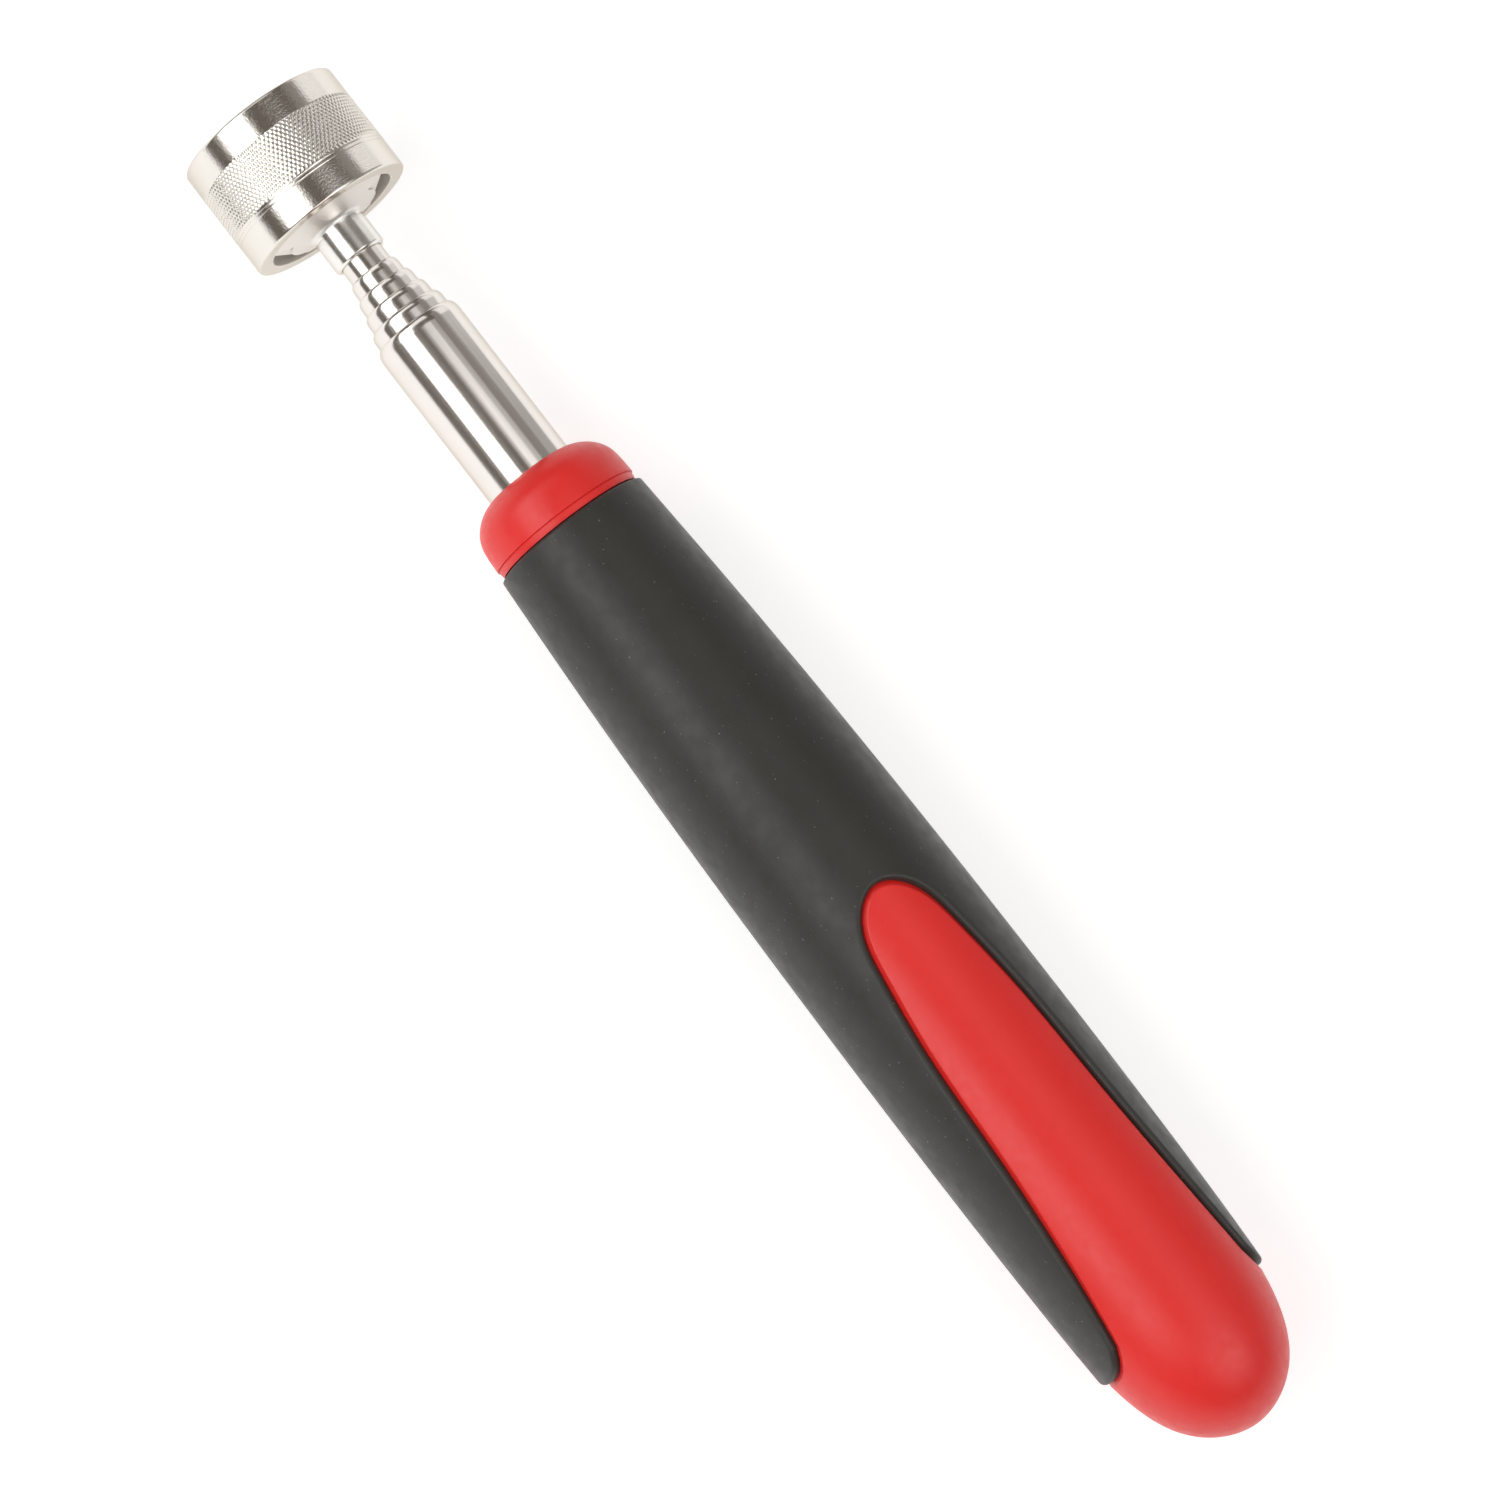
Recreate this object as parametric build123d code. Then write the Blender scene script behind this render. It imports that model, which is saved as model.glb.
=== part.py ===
"""Telescoping magnetic pick-up tool with a two-colour moulded handle.

The tool's axis is the X axis, with the magnet at +X. The origin is on that axis at the middle
of the grip, and the two coloured windows of the handle face +Z and -Z. Millimetres throughout.

Most lengths are given as stations: the distance behind the magnet's working face, measured
along the closed tool.
"""

import os
from math import radians, sin

from build123d import *

# --- whole tool -------------------------------------------------------------------------------
CLOSED_LENGTH = 203.2
FACE_X = 125.2  # the magnet's working face, in front of the middle of the grip
TRAVEL = 127.0  # of each of the five sliding sections

# --- telescoping mast -------------------------------------------------------------------------
TUBE_RADII = [6.0, 5.25, 4.6, 4.05, 3.5, 2.98]  # outside, from the fixed tube inwards
TUBE_WALL = 0.3
OUTER_LIP_STATION = 32.6
SECTION_STEP = 2.2  # each section stands this much proud of the one around it
LIP_LENGTH = 1.0
OUTER_LIP_LENGTH = 1.5  # the fixed tube is rolled in more gently
LIP_EDGE = 0.14
LIP_LAND = 0.5
LIP_SHOULDER = 1.5
SLIDE_CLEARANCE = 0.04
END_GAP = 0.3  # left between bush and lip when a section is fully out
SLEEVE_LENGTH = 12.0
TUBE_LENGTH = TRAVEL + END_GAP + SLEEVE_LENGTH + LIP_SHOULDER + SECTION_STEP

# --- guide bushes and friction rings ----------------------------------------------------------
BUSH_CLEARANCE = 0.05
BUSH_FLOOR = 2.1
BUSH_HOLE_INSET = 0.6
RING_WIDTH = 1.2
RING_THICKNESS = 0.35
RING_CLEARANCE = 0.02
RING_SIDE_PLAY = 0.05
RING_GAP_DEGREES = 22
PLUG_WALL = 0.5
PLUG_DEPTH = 6.0
PLUG_FLOOR = 2.0

# --- magnetic head ----------------------------------------------------------------------------
CUP_RADIUS = 11.3
CUP_LENGTH = 15.4
CUP_BORE = 10.0
CUP_LIP_RADIUS = 9.1
CUP_LIP = 1.5
CUP_RIM_CHAMFER = 0.35
CUP_BACK_ROUND = 0.35
KNURL_START = 4.0
KNURL_END = 10.7
KNURL_DEPTH = 0.06
GROOVE_WIDTH = 0.28
GROOVE_DEPTH = 0.14
GROOVE_PITCH = 0.5
HUB_PLATE_RADIUS = 9.0
HUB_PLATE = 1.4
HUB_PLATE_RISE = 1.0  # the plate's back is a low cone that rises to the neck
HUB_FLAT = 7.1
HUB_FLAT_TURNS = (122, 266)  # degrees from +Z towards +Y to each flat
COLLAR_RADIUS = 3.6
COLLAR_END = 21.5
COLLAR_CHAMFER = 0.3
COLLAR_FLARE = 0.8
SOCKET_DEPTH = 6.0
MAGNET_RADIUS = 9.0
MAGNET_THICKNESS = 8.0
BACKING_RADIUS = 9.9
FIT_GAP = 0.1

# --- handle -----------------------------------------------------------------------------------
NOSE_STATION = 56.2
GRIP_STATION = 64.5  # the seam where the nose meets the rubber
NOSE_REAR_RADIUS = 10.5
SEAM_RADIUS = 9.8
NOSE_LEDGE = 1.05  # the low step round the nose's rear edge
NOSE_LEDGE_RADII = (10.34, 10.22)
GRIP_FRONT_RADIUS = 10.8
GRIP_CHAMFER = 0.4
RUBBER_THICKNESS = 1.7
GRIP_OUTLINE = [(80, 11.62), (100, 12.42), (125, 12.97), (150, 13.15), (170, 13.03), (183, 12.74)]
GRIP_REAR = (191, 12.4)
NOSE_OUTLINE = [(57.15, 8.26), (58.3, 9.42), (59.5, 10.08), (60.9, 10.36)]
WINDOW_OUTLINE = [(123, 12.36), (150, 12.5), (170, 12.42), (182, 12.18)]
BUTT_OUTLINE = [(187.5, 11.85), (191.5, 11.22), (195.5, 10.02), (198.9, 8.1), (201.5, 5.3)]
WINDOW_TIP = 123.0
WINDOW_SIDE = [(125.1, 3.85), (132.3, 6.35), (143.1, 7.72), (157.5, 8.45), (171.9, 9.4)]
LOBE_START = (184.8, 10.65)
LOBE_SHOULDER = (188.1, 12.3)
LOBE_END = (188.45, 13.0)


def at(station, radius=0.0):
    """The point of the XY plane at a station and a distance from the axis."""
    return (FACE_X - station, radius)


def turned(*curves):
    """The solid made by turning a closed outline, in the XY plane, about the X axis."""
    outline = Curve() + list(curves)
    return revolve(make_face(outline), Axis.X)


def turned_points(*points):
    """A turned solid with straight-sided sections."""
    return revolve(make_face(Polyline(*points, close=True)), Axis.X)


def bored_cylinder(start, end, radius, bore):
    """A plain ring between two stations."""
    return turned_points(at(start, bore), at(start, radius), at(end, radius), at(end, bore))


def write(node, shape):
    """Write one named piece."""
    shape.label = node
    export_step(shape, f"parts/{node}.step")


# --- mast -------------------------------------------------------------------------------------
def front_station(section):
    """Where section 1 (the fixed tube) to section 5 ends in its rolled lip."""
    return OUTER_LIP_STATION - SECTION_STEP * (section - 1)


def rear_station(section):
    """Where the tube of a section ends inside the handle."""
    return front_station(section) + TUBE_LENGTH


def outer_radius(section):
    return TUBE_RADII[section - 1]


def inner_radius(section):
    return outer_radius(section) - TUBE_WALL


def lipped_tube(section):
    """A thin tube whose front end is rolled in to guide the next smaller tube."""
    front, rear = front_station(section), rear_station(section)
    radius, bore = outer_radius(section), inner_radius(section)
    lip_bore = outer_radius(section + 1) + SLIDE_CLEARANCE
    lip_outside = lip_bore + LIP_EDGE
    length = OUTER_LIP_LENGTH if section == 1 else LIP_LENGTH
    rolled = EllipticalCenterArc(
        at(front + length, lip_outside), length, radius - lip_outside, start_angle=0, arc_size=90
    )
    straight = Polyline(
        at(front + length, radius),
        at(rear, radius),
        at(rear, bore),
        at(front + LIP_SHOULDER, bore),
        at(front + LIP_LAND, lip_bore),
        at(front, lip_bore),
        at(front, lip_outside),
    )
    return turned(rolled, straight)


def innermost_tube():
    """The thinnest tube, which runs from the head's socket to its own bush."""
    section = len(TUBE_RADII)
    start = COLLAR_END - SOCKET_DEPTH
    return bored_cylinder(start, rear_station(section), outer_radius(section), inner_radius(section))


def ring_stations(section):
    """Front and back of a friction ring, centred in the floor of its bush."""
    middle = rear_station(section) + BUSH_FLOOR / 2
    return middle - RING_WIDTH / 2, middle + RING_WIDTH / 2


def ring_radii(section):
    """Outside and inside of the friction ring that rubs in the tube around a section."""
    outside = inner_radius(section - 1) - RING_CLEARANCE
    return outside, outside - RING_THICKNESS


def guide_bush(section):
    """A sleeve over the tube's rear end, with a holed floor that stops the next section."""
    rear = rear_station(section)
    radius = inner_radius(section - 1) - BUSH_CLEARANCE
    hole = inner_radius(section) - BUSH_HOLE_INSET
    sleeve = bored_cylinder(rear - SLEEVE_LENGTH, rear, radius, outer_radius(section))
    floor = bored_cylinder(rear, rear + BUSH_FLOOR, radius, hole)
    start, end = ring_stations(section)
    groove_floor = ring_radii(section)[1] - RING_SIDE_PLAY
    groove = bored_cylinder(start - RING_SIDE_PLAY, end + RING_SIDE_PLAY, radius + 1, groove_floor)
    return sleeve + floor - groove


def friction_ring(section):
    """A split spring ring that holds a section wherever it is pulled to."""
    start, end = ring_stations(section)
    outside, inside = ring_radii(section)
    half_gap = outside * sin(radians(RING_GAP_DEGREES / 2))
    gap = Pos(FACE_X - (start + end) / 2, 0, outside) * Box(2 * RING_WIDTH, 2 * half_gap, outside)
    return bored_cylinder(start, end, outside, inside) - gap


def end_plug():
    """A cap over the rear end of the fixed tube, the stop for section 2."""
    rear = rear_station(1)
    radius = outer_radius(1)
    wall = bored_cylinder(rear - PLUG_DEPTH, rear, radius + PLUG_WALL, radius)
    floor = turned_points(
        at(rear), at(rear, radius + PLUG_WALL), at(rear + PLUG_FLOOR, radius + PLUG_WALL), at(rear + PLUG_FLOOR)
    )
    return wall + floor


# --- head -------------------------------------------------------------------------------------
def magnet_cup():
    """The knurled steel shell, with a lip at its back that the backing disc seats against."""
    knurl_radius = CUP_RADIUS - KNURL_DEPTH
    back_round_start = CUP_LENGTH - CUP_BACK_ROUND
    outside = [
        at(0, CUP_BORE),
        at(0, CUP_RADIUS - CUP_RIM_CHAMFER),
        at(CUP_RIM_CHAMFER, CUP_RADIUS),
        at(KNURL_START, CUP_RADIUS),
        at(KNURL_START, knurl_radius),
        at(KNURL_END, knurl_radius),
        at(KNURL_END, CUP_RADIUS),
    ]
    for groove in range(2):
        start = KNURL_END + GROOVE_PITCH * groove + GROOVE_WIDTH / 2
        outside += [
            at(start, CUP_RADIUS),
            at(start + GROOVE_WIDTH / 2, CUP_RADIUS - GROOVE_DEPTH),
            at(start + GROOVE_WIDTH, CUP_RADIUS),
        ]
    outside.append(at(back_round_start, CUP_RADIUS))
    shoulder = at(CUP_LENGTH, CUP_RADIUS - CUP_BACK_ROUND)
    back = [
        shoulder,
        at(CUP_LENGTH, CUP_LIP_RADIUS),
        at(CUP_LENGTH - CUP_LIP, CUP_LIP_RADIUS),
        at(CUP_LENGTH - CUP_LIP, CUP_BORE),
        at(0, CUP_BORE),
    ]
    rounding = RadiusArc(at(back_round_start, CUP_RADIUS), shoulder, -CUP_BACK_ROUND)
    return turned(Polyline(*outside), rounding, Polyline(*back))


def hub_plate_station():
    """The front of the hub's plate, against the backing disc."""
    return CUP_LENGTH - CUP_LIP - FIT_GAP


def magnet_hub():
    """A round plate with flats, and the neck whose socket holds the innermost tube."""
    front = hub_plate_station()
    back = front + HUB_PLATE
    top = back + HUB_PLATE_RISE
    foot = COLLAR_RADIUS + COLLAR_FLARE
    plate = turned_points(at(front), at(front, HUB_PLATE_RADIUS), at(back, HUB_PLATE_RADIUS), at(top, foot), at(top))
    for turn in HUB_FLAT_TURNS:
        outside = Pos(FACE_X - front, 0, HUB_FLAT + HUB_PLATE_RADIUS) * Box(
            4 * HUB_PLATE, 2 * HUB_PLATE_RADIUS, 2 * HUB_PLATE_RADIUS
        )
        plate -= Rot(X=-turn) * outside
    flare = RadiusArc(at(top, foot), at(top + COLLAR_FLARE, COLLAR_RADIUS), COLLAR_FLARE)
    neck = Polyline(
        at(top + COLLAR_FLARE, COLLAR_RADIUS),
        at(COLLAR_END - COLLAR_CHAMFER, COLLAR_RADIUS),
        at(COLLAR_END, COLLAR_RADIUS - COLLAR_CHAMFER),
        at(COLLAR_END),
        at(top),
        at(top, foot),
    )
    socket = bored_cylinder(COLLAR_END - SOCKET_DEPTH, COLLAR_END, TUBE_RADII[-1], 0)
    return plate + turned(flare, neck) - socket


def backing_disc():
    """The steel pole between the magnet and the hub."""
    return bored_cylinder(MAGNET_THICKNESS, hub_plate_station(), BACKING_RADIUS, 0)


def magnet_disc():
    return bored_cylinder(0, MAGNET_THICKNESS, MAGNET_RADIUS, 0)


def spacer_ring():
    """The ring that keeps the magnet off the shell's wall."""
    return bored_cylinder(FIT_GAP, MAGNET_THICKNESS, CUP_BORE, MAGNET_RADIUS)


# --- handle -----------------------------------------------------------------------------------
def window_prism():
    """Everything above and below the coloured windows, as seen from straight above."""
    half = [*WINDOW_SIDE, LOBE_START]
    one_side = [at(station, -width) for station, width in reversed(half)]
    other_side = [at(station, width) for station, width in half]
    sides = [Spline(*one_side, at(WINDOW_TIP), *other_side)]
    for side in (1, -1):
        start = at(LOBE_START[0], side * LOBE_START[1])
        shoulder = at(LOBE_SHOULDER[0], side * LOBE_SHOULDER[1])
        end = at(LOBE_END[0], side * LOBE_END[1])
        sides.append(Spline(start, shoulder, end, tangents=[(-1, side * 0.4), (-0.1, side)]))
        beyond = at(LOBE_END[0], side * 2 * CUP_RADIUS)
        sides.append(Line(end, beyond))
        sides.append(Line(beyond, at(CLOSED_LENGTH, side * 2 * CUP_RADIUS)))
    sides.append(Line(at(CLOSED_LENGTH, 2 * CUP_RADIUS), at(CLOSED_LENGTH, -2 * CUP_RADIUS)))
    return extrude(make_face(Curve() + sides), amount=2 * CUP_RADIUS, both=True)


def grip_blank():
    """The rubber's full ring, before the windows are cut through it."""
    side = [at(*point) for point in GRIP_OUTLINE]
    corner = at(GRIP_STATION + GRIP_CHAMFER, GRIP_FRONT_RADIUS)
    rear = at(*GRIP_REAR)
    under = [at(station, radius - RUBBER_THICKNESS) for station, radius in GRIP_OUTLINE]
    under_front = at(GRIP_STATION, SEAM_RADIUS - RUBBER_THICKNESS / 2)
    under_rear = at(GRIP_REAR[0], GRIP_REAR[1] - RUBBER_THICKNESS)
    return turned(
        Polyline(under_front, at(GRIP_STATION, SEAM_RADIUS), corner),
        Spline(corner, *side, rear),
        Line(rear, under_rear),
        Spline(under_rear, *reversed(under), under_front),
    )


def grip_overmould():
    """The soft rubber sleeve, whose two lobes reach back between the windows."""
    return grip_blank() - window_prism()


def handle_core():
    """The moulded handle: nose, the two windows, butt, and the bore for the fixed tube."""
    tube = outer_radius(1)
    plug = tube + PLUG_WALL
    rear = rear_station(1)
    nose_front = at(NOSE_STATION, tube)
    nose_rear = at(GRIP_STATION - NOSE_LEDGE, NOSE_REAR_RADIUS)
    ledge_front = at(GRIP_STATION - NOSE_LEDGE + 0.08, NOSE_LEDGE_RADII[0])
    ledge_rear = at(GRIP_STATION, NOSE_LEDGE_RADII[1])
    seam = at(GRIP_STATION, SEAM_RADIUS)
    window_front = at(*WINDOW_OUTLINE[0])
    body = turned(
        Spline(
            nose_front, *[at(*p) for p in NOSE_OUTLINE], nose_rear, tangents=[(-0.08, 1), (-1, 0.04)]
        ),
        Polyline(nose_rear, ledge_front, ledge_rear, seam, window_front),
        Spline(
            window_front,
            *[at(*p) for p in WINDOW_OUTLINE[1:] + BUTT_OUTLINE],
            at(CLOSED_LENGTH),
            tangents=[(-1, 0.01), (0, -1)],
        ),
        Polyline(
            at(CLOSED_LENGTH),
            at(rear + PLUG_FLOOR),
            at(rear + PLUG_FLOOR, plug),
            at(rear - PLUG_DEPTH, plug),
            at(rear - PLUG_DEPTH, tube),
            nose_front,
        ),
    )
    return body - grip_overmould()


def main():
    os.makedirs("parts", exist_ok=True)
    write("handle_core", handle_core())
    write("grip_overmould", grip_overmould())
    write("mast_end_plug", end_plug())
    for section in range(1, len(TUBE_RADII)):
        write(f"mast_tube_{section}", lipped_tube(section))
    write(f"mast_tube_{len(TUBE_RADII)}", innermost_tube())
    for section in range(2, len(TUBE_RADII) + 1):
        write(f"guide_bush_{section}", guide_bush(section))
        write(f"friction_ring_{section}", friction_ring(section))
    write("magnet_cup", magnet_cup())
    write("magnet_hub", magnet_hub())
    write("backing_disc", backing_disc())
    write("magnet_disc", magnet_disc())
    write("spacer_ring", spacer_ring())


main()
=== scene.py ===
"""Looks of the telescoping magnetic pick-up tool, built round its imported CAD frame.

The frame's tool lies along X with its magnet at +X. Shapes are worked out in millimetres as
stations (distance behind the magnet's face) and radii, and turned into metres for the meshes.
"""

import math

import bmesh
import bpy
import numpy as np
from mathutils import Matrix, Vector
from mathutils.geometry import delaunay_2d_cdt


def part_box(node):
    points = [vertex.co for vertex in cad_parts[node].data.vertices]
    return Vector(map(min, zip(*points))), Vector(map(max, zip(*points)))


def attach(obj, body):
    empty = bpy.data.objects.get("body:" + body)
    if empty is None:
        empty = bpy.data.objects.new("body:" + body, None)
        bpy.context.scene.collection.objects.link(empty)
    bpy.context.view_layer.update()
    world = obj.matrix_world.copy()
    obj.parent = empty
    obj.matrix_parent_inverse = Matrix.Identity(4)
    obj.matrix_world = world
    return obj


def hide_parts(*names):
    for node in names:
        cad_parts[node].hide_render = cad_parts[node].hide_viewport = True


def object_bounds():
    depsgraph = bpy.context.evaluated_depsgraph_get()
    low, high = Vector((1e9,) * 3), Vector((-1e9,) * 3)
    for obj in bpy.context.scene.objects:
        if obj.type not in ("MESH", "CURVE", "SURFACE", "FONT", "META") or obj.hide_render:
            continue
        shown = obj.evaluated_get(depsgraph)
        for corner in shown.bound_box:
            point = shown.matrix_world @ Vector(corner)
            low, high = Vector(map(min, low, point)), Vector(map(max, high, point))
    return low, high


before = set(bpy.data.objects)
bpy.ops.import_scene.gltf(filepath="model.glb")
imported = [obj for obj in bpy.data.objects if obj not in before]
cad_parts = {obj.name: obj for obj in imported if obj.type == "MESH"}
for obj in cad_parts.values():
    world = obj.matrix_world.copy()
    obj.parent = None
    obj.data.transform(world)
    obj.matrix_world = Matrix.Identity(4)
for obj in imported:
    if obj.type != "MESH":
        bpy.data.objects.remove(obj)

CAD_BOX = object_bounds()
MM = 0.001
FACE_X = CAD_BOX[1].x / MM  # the magnet's working face
CLOSED_LENGTH = (CAD_BOX[1].x - CAD_BOX[0].x) / MM


# --- curves -------------------------------------------------------------------------------------
def spline(points, count, start=None, end=None):
    """A smooth curve through points, with unit tangents at its ends where they are given."""
    p = np.array(points, float)
    chord = np.linalg.norm(np.diff(p, axis=0), axis=1)
    n = len(p)
    matrix = np.zeros((n, n))
    right = np.zeros((n, 2))
    for i in range(1, n - 1):
        a, b = chord[i - 1], chord[i]
        matrix[i, i - 1 : i + 2] = b, 2 * (a + b), a
        right[i] = 3 * (b * (p[i] - p[i - 1]) / a + a * (p[i + 1] - p[i]) / b)
    for row, beside, tangent, step in ((0, 1, start, p[1] - p[0]), (n - 1, n - 2, end, p[-1] - p[-2])):
        if tangent is not None:
            matrix[row, row] = 1
            right[row] = np.array(tangent, float) / np.linalg.norm(tangent)
        else:
            matrix[row, row] = 2
            matrix[row, beside] = 1
            right[row] = 3 * step / np.linalg.norm(step)
    slope = np.linalg.solve(matrix, right)
    knots = np.concatenate([[0], np.cumsum(chord)])
    out = []
    for s in np.linspace(0, knots[-1], count):
        i = min(max(int(np.searchsorted(knots, s)) - 1, 0), n - 2)
        h = chord[i]
        u = (s - knots[i]) / h
        out.append(
            (2 * u**3 - 3 * u**2 + 1) * p[i]
            + (u**3 - 2 * u**2 + u) * h * slope[i]
            + (3 * u**2 - 2 * u**3) * p[i + 1]
            + (u**3 - u**2) * h * slope[i + 1]
        )
    return np.array(out)


def corner_round(points, radius, steps=4):
    """The same open outline with its corners turned into small arcs."""
    p = [np.array(q, float) for q in points]
    out = [p[0]]
    for before, here, after in zip(p, p[1:], p[2:]):
        a, b = before - here, after - here
        la, lb = np.linalg.norm(a), np.linalg.norm(b)
        reach = min(radius, 0.45 * la, 0.45 * lb)
        first, last = here + a / la * reach, here + b / lb * reach
        for k in range(steps + 1):
            u = k / steps
            out.append((1 - u) ** 2 * first + 2 * u * (1 - u) * here + u**2 * last)
    out.append(p[-1])
    return [tuple(q) for q in out]


# --- meshes -------------------------------------------------------------------------------------
def new_piece(name, points, faces, material, body, nodes, sharp=40):
    """A smooth-shaded mesh object, in metres, that rides on a body and stands for CAD nodes."""
    mesh = bpy.data.meshes.new(name)
    mesh.from_pydata([tuple(np.array(p) * MM) for p in points], [], faces)
    bm = bmesh.new()
    bm.from_mesh(mesh)
    bmesh.ops.remove_doubles(bm, verts=bm.verts, dist=0.0004 * MM)
    bmesh.ops.recalc_face_normals(bm, faces=bm.faces)
    for face in bm.faces:
        face.smooth = True
    bm.to_mesh(mesh)
    bm.free()
    mesh.set_sharp_from_angle(angle=math.radians(sharp))
    piece = bpy.data.objects.new(name, mesh)
    bpy.context.scene.collection.objects.link(piece)
    mesh.materials.append(material)
    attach(piece, body)
    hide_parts(*nodes)
    return piece


def held(outline, gap=0.04):
    """The same outline with points near both ends of its long sides, to keep their shading flat."""
    out = []
    for one, two in zip(outline, outline[1:]):
        out.append(one)
        a, b = np.array(one, float), np.array(two, float)
        length = np.linalg.norm(b - a)
        if length > 6 * gap:
            out += [tuple(a + (b - a) * gap / length), tuple(b - (b - a) * gap / length)]
    return out + [outline[-1]]


def lathe(outline, count, radius_of=None, closed=False):
    """Points and faces of a turned shape. radius_of(i, angles, radius) may vary a ring's radius."""
    angles = np.arange(count) * 2 * math.pi / count
    points, rings = [], []
    for i, (station, radius) in enumerate(outline):
        if radius < 1e-6:
            rings.append([len(points)])
            points.append((FACE_X - station, 0, 0))
            continue
        radii = np.full(count, radius) if radius_of is None else radius_of(i, angles, radius)
        rings.append(list(range(len(points), len(points) + count)))
        points += [(FACE_X - station, r * math.sin(a), r * math.cos(a)) for a, r in zip(angles, radii)]
    faces = []
    pairs = list(zip(rings, rings[1:])) + ([(rings[-1], rings[0])] if closed else [])
    for one, two in pairs:
        for k in range(count):
            m = (k + 1) % count
            if len(one) == 1:
                faces.append((one[0], two[k], two[m]))
            elif len(two) == 1:
                faces.append((one[k], two[0], one[m]))
            else:
                faces.append((one[k], two[k], two[m], one[m]))
    return points, faces


# --- materials ----------------------------------------------------------------------------------
class Nodes:
    """A short way to write a material's node tree."""

    def __init__(self, name):
        self.material = bpy.data.materials.new(name)
        self.material.use_nodes = True
        self.tree = self.material.node_tree
        self.shader = self.tree.nodes["Principled BSDF"]
        self.place = self.tree.nodes.new("ShaderNodeTexCoord").outputs["Object"]

    def add(self, kind, **sockets):
        """A node of a kind. Sockets are set, or linked where they are another node's output."""
        node = self.tree.nodes.new("ShaderNode" + kind)
        for name, value in sockets.items():
            self.put(node, name.replace("_", " "), value)
        return node

    def put(self, node, name, value):
        """Set or link one input by its name, or by its number written as i0, i1 and so on."""
        numbered = name[0] == "i" and name[1:].isdigit()
        socket = node.inputs[int(name[1:])] if numbered else node.inputs[name]
        if isinstance(value, bpy.types.NodeSocket):
            self.tree.links.new(value, socket)
        else:
            socket.default_value = value

    def set(self, **sockets):
        """Set or link inputs of the material's shader."""
        for name, value in sockets.items():
            self.put(self.shader, name.replace("_", " "), value)

    def stretched(self, scale):
        """Object coordinates, in metres, multiplied along each axis."""
        return self.add("Mapping", Vector=self.place, Scale=scale).outputs["Vector"]

    def noise(self, scale, detail=3.0, rough=0.55, stretch=(1, 1, 1)):
        """A noise from 0 to 1, scale being waves per metre."""
        place = self.stretched(stretch)
        node = self.add("TexNoise", Vector=place, Scale=scale, Detail=detail, Roughness=rough)
        return node.outputs["Fac"]

    def ramp(self, value, low, high, to_low=0.0, to_high=1.0):
        """value from low..high taken smoothly to to_low..to_high."""
        node = self.add("MapRange", i0=value, i1=low, i2=high, i3=to_low, i4=to_high)
        node.interpolation_type = "SMOOTHSTEP"
        return node.outputs["Result"]

    def math(self, operation, a, b=0.0):
        """The result of one sum, named as Blender names it."""
        node = self.add("Math", i0=a, i1=b)
        node.operation = operation
        return node.outputs["Value"]

    def mix(self, factor, a, b):
        """The colour between a and b, which are (r, g, b) or another node's output."""
        node = self.tree.nodes.new("ShaderNodeMix")
        node.data_type = "RGBA"
        self.tree.links.new(factor, node.inputs["Factor"])
        for socket, colour in ((node.inputs[6], a), (node.inputs[7], b)):
            if isinstance(colour, bpy.types.NodeSocket):
                self.tree.links.new(colour, socket)
            else:
                socket.default_value = (*colour, 1.0)
        return node.outputs[2]

    def bump(self, height, distance, strength=1.0):
        """A bump of a height field, distance metres deep."""
        return self.add("Bump", Height=height, Distance=distance, Strength=strength).outputs["Normal"]


def red_plastic():
    n = Nodes("red_plastic")
    cloud = n.noise(60, 2)
    n.set(
        Base_Color=n.mix(cloud, (0.69, 0.016, 0.013), (0.75, 0.022, 0.018)),
        Roughness=n.ramp(n.noise(900, 3), 0.3, 0.7, 0.36, 0.46),
        Normal=n.bump(n.noise(1400, 2), 0.00004, 0.35),
    )
    return n.material


def grip_rubber():
    n = Nodes("rubber_grip")
    cloud = n.noise(90, 3)
    base = n.mix(cloud, (0.020, 0.0198, 0.0168), (0.031, 0.0305, 0.0262))
    speck = n.ramp(n.noise(2600, 1), 0.75, 0.78)
    n.set(
        Base_Color=n.mix(n.math("MULTIPLY", speck, 0.35), base, (0.30, 0.29, 0.27)),
        Roughness=n.ramp(n.noise(500, 4), 0.3, 0.7, 0.40, 0.52),
        Normal=n.bump(n.noise(5200, 2), 0.00003, 0.5),
    )
    n.shader.inputs["Specular IOR Level"].default_value = 0.42
    n.shader.inputs["Sheen Weight"].default_value = 0.05
    n.shader.inputs["Sheen Roughness"].default_value = 0.5
    return n.material


ALONG = (30, 3000, 3000)  # waves per metre of the marks along each axis
AROUND = (3000, 60, 60)
SPECKLE = (3600, 3600, 3600)
GRAZING_TINT = (0.74, 0.70, 0.65, 1)


def bright_metal(name, low, high, rough, lines, waves=0.000002, satin=None):
    """Polished metal between two colours, with a lowest and a highest roughness.

    lines is how fine its marks are along each axis, and waves is how deep they are, in metres.
    satin(nodes) gives the roughness of the places that are left matt.
    """
    n = Nodes(name)
    n.shader.inputs["Metallic"].default_value = 1.0
    n.shader.inputs["Specular Tint"].default_value = GRAZING_TINT
    marks = n.noise(1.0, 3, 0.6, lines)
    polish = n.ramp(marks, 0.25, 0.75, rough[0], rough[1])
    if satin is not None:
        polish = n.math("MAXIMUM", polish, satin(n))
    n.set(
        Base_Color=n.mix(n.noise(150, 3), low, high),
        Roughness=polish,
        Normal=n.bump(marks, waves),
    )
    return n.material


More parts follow.
